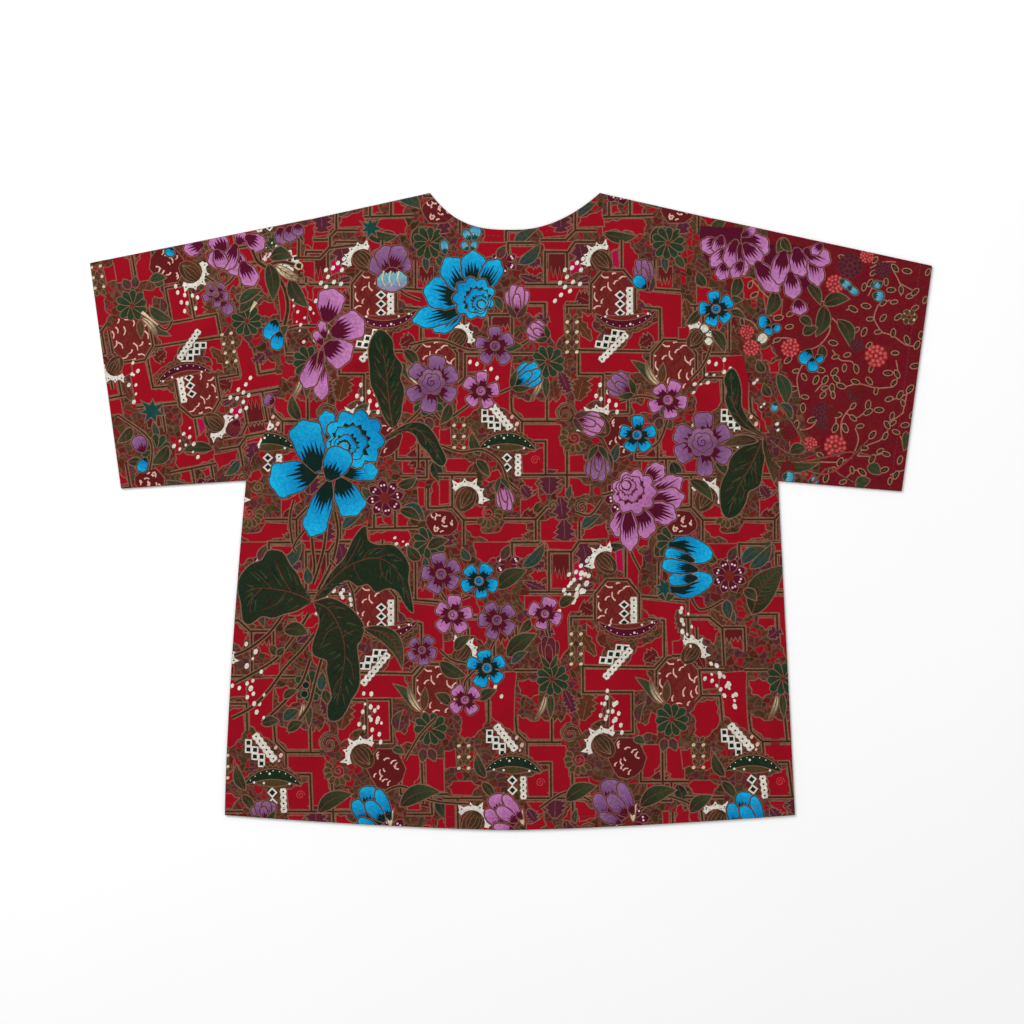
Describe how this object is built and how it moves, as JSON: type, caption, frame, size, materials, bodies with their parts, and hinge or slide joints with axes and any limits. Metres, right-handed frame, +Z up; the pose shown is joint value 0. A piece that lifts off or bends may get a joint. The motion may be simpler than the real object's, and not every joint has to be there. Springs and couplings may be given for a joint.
{
  "type": "batik crop shirt",
  "caption": "Boxy short-sleeved batik shirt laid flat with its back up, printed with flowers and leaves over a red lattice ground.",
  "frame": {"origin": "on the surface the shirt lies on, at the middle of its outline", "axes": "+X across the shirt toward the sleeve with the darker print, +Y from the hem to the neck, +Z up through the layers"},
  "size_m": [0.8, 0.605, 0.0059],
  "materials": {
    "back_cloth": "printed batik cotton, matt",
    "front_cloth": "printed batik cotton, matt",
    "sleeve_left_cloth": "printed batik cotton, matt",
    "sleeve_right_cloth": "printed batik cotton, darker ground, matt"
  },
  "bodies": {
    "root": {"back_panel": "back_cloth", "front_panel": "front_cloth", "sleeve_left": "sleeve_left_cloth", "sleeve_right": "sleeve_right_cloth"}
  },
  "joints": []
}
